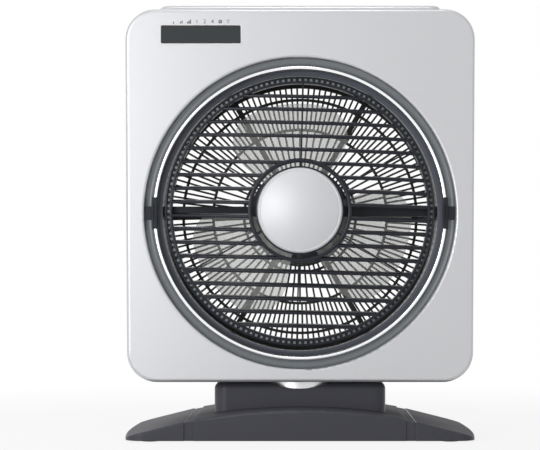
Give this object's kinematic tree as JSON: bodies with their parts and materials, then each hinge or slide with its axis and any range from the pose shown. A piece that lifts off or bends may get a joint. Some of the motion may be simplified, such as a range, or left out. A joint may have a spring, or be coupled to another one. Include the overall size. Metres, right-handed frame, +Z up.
{
  "type": "box fan",
  "caption": "Upright box fan whose square case swings on a low arched base, with a turning slatted louver, bladed wheel, rear guard, top keys, guard catches and carrying grip.",
  "frame": {"origin": "middle of the base on the floor, on the axis that the head swings about", "axes": "+Z up, -Y the way the air blows (the fan's front), +X to the right seen from the front"},
  "size_m": [0.376, 0.208, 0.4732],
  "materials": {
    "silver_plastic": "silver paint, satin",
    "base_plastic": "dark grey, satin",
    "navy_plastic": "dark blue-grey, glossy",
    "black_plastic": "black, matt",
    "blade_plastic": "translucent pale grey-green, glossy",
    "window_plastic": "smoked, glossy",
    "bright_trim": "bright",
    "key_plastic": "mid grey, satin",
    "pad_rubber": "matt",
    "screw_steel": "zinc plated",
    "plate_steel": "bare sheet",
    "motor_shell": "cast, matt",
    "gear_motor_paint": "plated can",
    "bearing_bronze": "sintered",
    "gear_nylon": "natural white, matt",
    "circuit_board": "green lacquer",
    "lamp_plastic": "tinted, glossy",
    "capacitor_case": "moulded"
  },
  "bodies": {
    "base": {"base_cover": "base_plastic", "left_foot": "base_plastic", "right_foot": "base_plastic", "pedestal_housing": "base_plastic", "bottom_plate": "black_plastic", "rubber_feet": "pad_rubber", "base_screws": "screw_steel", "swing_plate": "plate_steel", "swing_motor": "gear_motor_paint", "pivot_bush": "bearing_bronze", "thrust_washer": "gear_nylon", "cord_gland": "black_plastic"},
    "swing_drive": {"swing_shaft": "screw_steel", "swing_pinion": "gear_nylon"},
    "head": {"neck_collar": "silver_plastic", "pivot_tube": "plate_steel", "swing_sector": "gear_nylon", "pivot_clip": "screw_steel", "collar_screws": "screw_steel", "rear_case": "silver_plastic", "front_panel": "silver_plastic", "case_screws": "screw_steel", "air_shroud": "navy_plastic", "guard_ring": "navy_plastic", "chrome_trim": "bright_trim", "louver_bar": "navy_plastic", "louver_motor": "gear_motor_paint", "rear_guard": "black_plastic", "motor_rear_shell": "motor_shell", "motor_stator": "plate_steel", "motor_front_shell": "motor_shell", "rear_bearing": "bearing_bronze", "front_bearing": "bearing_bronze", "motor_screws": "screw_steel", "display_window": "window_plastic", "display_board": "circuit_board", "indicator_leds": "lamp_plastic", "control_deck": "black_plastic", "switch_board": "circuit_board", "power_board": "circuit_board", "motor_capacitor": "capacitor_case"},
    "fan": {"blade_wheel": "blade_plastic", "rotor_shaft": "screw_steel", "motor_rotor": "plate_steel", "blade_nut": "black_plastic"},
    "louver": {"louver_grille": "navy_plastic", "louver_cap": "silver_plastic", "louver_shaft": "screw_steel"},
    "power_button": {"power_key": "key_plastic"},
    "speed_button": {"speed_key": "key_plastic"},
    "timer_button": {"timer_key": "key_plastic"},
    "louver_button": {"louver_key": "key_plastic"},
    "swing_button": {"swing_key": "key_plastic"},
    "left_catch": {"left_latch": "navy_plastic"},
    "right_catch": {"right_latch": "navy_plastic"}
  },
  "joints": [
    {"name": "head_swing", "type": "hinge", "parent": "base", "child": "head", "pos_m": [0, 0, 0.05], "axis": [0, 0, 1], "range_deg": [-35, 35]},
    {"name": "pinion_turn", "type": "hinge", "parent": "base", "child": "swing_drive", "pos_m": [0.05, 0, 0.0152], "axis": [0, 0, 1], "range_deg": [-140, 140]},
    {"name": "fan_spin", "type": "hinge", "parent": "head", "child": "fan", "pos_m": [0, 0, 0.241], "axis": [0, -1, 0], "continuous": true},
    {"name": "louver_spin", "type": "hinge", "parent": "head", "child": "louver", "pos_m": [0, 0, 0.2432], "axis": [0, -1, 0], "continuous": true},
    {"name": "power_press", "type": "slide", "parent": "head", "child": "power_button", "axis": [0, 0, -1], "range_m": [0, 0.0012], "stiffness_N_per_m": 300},
    {"name": "speed_press", "type": "slide", "parent": "head", "child": "speed_button", "axis": [0, 0, -1], "range_m": [0, 0.0012], "stiffness_N_per_m": 300},
    {"name": "timer_press", "type": "slide", "parent": "head", "child": "timer_button", "axis": [0, 0, -1], "range_m": [0, 0.0012], "stiffness_N_per_m": 300},
    {"name": "louver_press", "type": "slide", "parent": "head", "child": "louver_button", "axis": [0, 0, -1], "range_m": [0, 0.0012], "stiffness_N_per_m": 300},
    {"name": "swing_press", "type": "slide", "parent": "head", "child": "swing_button", "axis": [0, 0, -1], "range_m": [0, 0.0012], "stiffness_N_per_m": 300},
    {"name": "left_catch_slide", "type": "slide", "parent": "head", "child": "left_catch", "axis": [1, 0, 0], "range_m": [0, 0.003], "stiffness_N_per_m": 400},
    {"name": "right_catch_slide", "type": "slide", "parent": "head", "child": "right_catch", "axis": [-1, 0, 0], "range_m": [0, 0.003], "stiffness_N_per_m": 400}
  ],
  "couplings": [
    {"joint": "pinion_turn", "follows": "head_swing", "ratio": -4}
  ]
}
